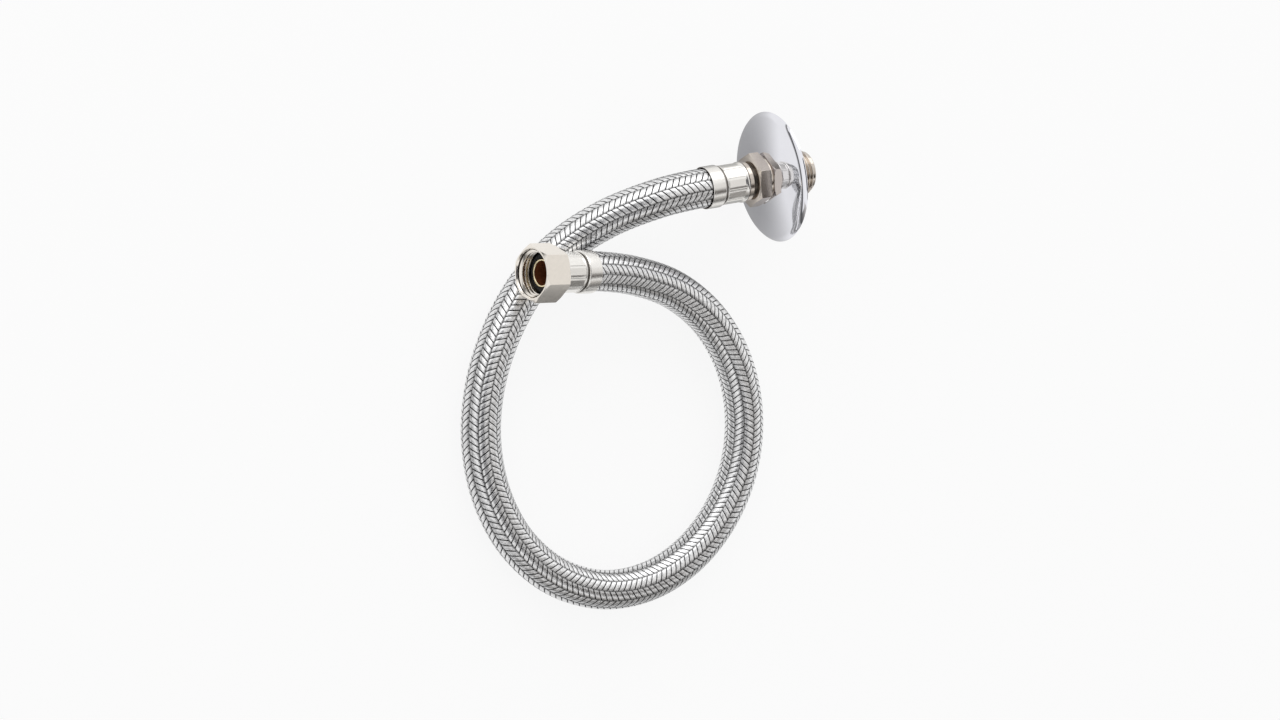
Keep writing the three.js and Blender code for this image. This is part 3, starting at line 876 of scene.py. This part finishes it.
# %% The floor
camera_glow, mirror_glow = 0.86, 0.8
bm = bmesh.new()
bmesh.ops.create_grid(bm, x_segments=2, y_segments=2, size=4)
floor = add_to_scene(bm, "floor")
floor_material = bpy.data.materials.new("pale_floor")
tree = Wiring(floor_material)
lit = tree.nodes["Principled BSDF"]
lit.inputs["Base Color"].default_value = (0.93, 0.93, 0.93, 1)
lit.inputs["Roughness"].default_value = 0.9
lit.inputs["Specular IOR Level"].default_value = 0.1

floor_parts = tree.parts_of(tree.object_place())
# Painted shadow and shade for reflections only: below the loop, in its middle, at the plate's foot
# and the left end.
mirrored_light = tree.to_range(floor_parts["Y"], -0.25, -0.16, 0.35, 1)
for darker in (tree.to_range(tree.distance_from((-0.07, -0.112, 0)), 0.018, 0.035, 0.08, 1),
               tree.to_range(tree.distance_from((0.01, 0, 0)), 0.02, 0.08, 0.33, 1),
               tree.to_range(floor_parts["X"], -0.3, -0.14, 0.1, 1)):
    mirrored_light = tree.maths("MULTIPLY", mirrored_light, darker)

seen = tree.nodes.new("ShaderNodeLightPath").outputs
glow = tree.nodes.new("ShaderNodeEmission")
glow.inputs["Color"].default_value = (1, 1, 1, 1)
tree.join(tree.maths("MAXIMUM", seen["Is Camera Ray"], mirrored_light), glow.inputs["Strength"])
blend = tree.nodes.new("ShaderNodeMixShader")
glow_share = tree.maths("MULTIPLY_ADD", seen["Is Glossy Ray"], mirror_glow,
                        tree.maths("MULTIPLY", seen["Is Camera Ray"], camera_glow))
tree.join(glow_share, blend.inputs["Fac"])
tree.join(lit.outputs["BSDF"], blend.inputs[1])
tree.join(glow.outputs["Emission"], blend.inputs[2])
tree.join(blend.outputs["Shader"], tree.nodes["Material Output"].inputs["Surface"])
floor.data.materials.append(floor_material)
print("floor:", [round(v, 2) for v in floor.dimensions], "m")

# %% [markdown]
# The world is white for the camera, and for what metal mirrors or glass lets through. As a light on
# the object it is weaker, so that pale surfaces keep their colour.

# %% The world
light_from_world = 0.7
world = bpy.data.worlds.new("studio")
bpy.context.scene.world = world
tree = Wiring(world)
seen = tree.nodes.new("ShaderNodeLightPath").outputs
clear = tree.maths("MAXIMUM", tree.maths("MAXIMUM", seen["Is Camera Ray"], seen["Is Glossy Ray"]),
                   seen["Is Transmission Ray"])
background = tree.nodes["Background"]
background.inputs["Color"].default_value = (1, 1, 1, 1)
tree.join(tree.to_range(clear, 0, 1, light_from_world, 1, "LINEAR"), background.inputs["Strength"])
print("world light:", light_from_world)

# %% [markdown]
# One large soft lamp stands past the top edge of the picture and shines down on the hose. It gives
# the shape its light and dark sides and the floor its shadow.

# %% The lamp
def aim_at(position, target):
    """A place and a turn that points an object's -Z from its position at a target."""
    aim = Vector(target) - Vector(position)
    return Matrix.Translation(position) @ aim.to_track_quat("-Z", "Y").to_matrix().to_4x4()


lamp_data = bpy.data.lights.new("key", "AREA")
lamp_data.shape = "RECTANGLE"
lamp_data.size, lamp_data.size_y = 2.4, 1.0
lamp_data.energy = 8
lamp = bpy.data.objects.new("key", lamp_data)
lamp.matrix_world = aim_at((0.0, 1.3, 0.8), (-0.06, -0.08, 0.01))
bpy.context.scene.collection.objects.link(lamp)
print("lamp:", lamp_data.energy, "W")

# %% [markdown]
# Bright metal needs something dark to mirror, or it looks like white plastic. A photographer stands
# grey and black cards round it, just outside the picture. These four cards are seen only in
# reflections: one overhead beside the camera, a wide one overhead to the right that fades from dark
# to pale, a low one at the left end of the table, and a low one along the bottom edge of the
# picture. The fades keep the edge of a card from drawing a hard line on the chrome.

# %% The cards
COLOUR_A, COLOUR_B, COLOUR_RESULT = 6, 7, 2


def card(name, position, target, size, grey, far_grey=None, fade_from=-0.5, fade_to=0.5):
    """A glowing board that fades from one grey to another between two shares of its height."""
    bm = bmesh.new()
    bmesh.ops.create_grid(bm, x_segments=1, y_segments=1, size=0.5)
    bmesh.ops.scale(bm, vec=(size[0], size[1], 1), verts=bm.verts)
    board = add_to_scene(bm, name)
    board.matrix_world = aim_at(position, target)
    paint = bpy.data.materials.new(name)
    tree = Wiring(paint)
    mix = tree.nodes.new("ShaderNodeMix")
    mix.data_type = "RGBA"
    mix.inputs[COLOUR_A].default_value = (*grey, 1)
    mix.inputs[COLOUR_B].default_value = (*(far_grey or grey), 1)
    height = tree.parts_of(tree.object_place())["Y"]
    fade = tree.to_range(height, size[1] * fade_from, size[1] * fade_to, 0, 1)
    tree.join(fade, mix.inputs["Factor"])
    glow = tree.nodes.new("ShaderNodeEmission")
    tree.join(mix.outputs[COLOUR_RESULT], glow.inputs["Color"])
    tree.join(glow.outputs["Emission"], tree.nodes["Material Output"].inputs["Surface"])
    board.data.materials.append(paint)
    board.visible_camera = False
    board.visible_diffuse = False
    board.visible_shadow = False
    print("card:", name)


card("overhead_card", (-0.66, -0.1, 1.3), (-0.66, -0.1, 0), (0.8, 1.4), (0.05, 0.05, 0.06))
card("ceiling_card", (1.05, -0.5, 1.3), (1.05, -0.5, 0), (2.4, 1.6), (0.08, 0.07, 0.065),
     far_grey=(0.84, 0.83, 0.82), fade_from=-0.15, fade_to=0.15)
card("low_card", (-1.0, 0, 0.25), (0, 0, 0.25), (2.4, 0.5), (0.02, 0.02, 0.025),
     far_grey=(0.95, 0.95, 0.95), fade_from=-0.42, fade_to=0)
card("dark_side_card", (-0.1, -1.1, 0.35), (-0.1, 0, 0.35), (2.4, 0.7), (0.1, 0.1, 0.1),
     far_grey=(0.55, 0.53, 0.51))

# %% [markdown]
# ## Finish
# The colour settings stay plain, so that a colour renders about as it is written.

bpy.context.scene.view_settings.view_transform = "Standard"
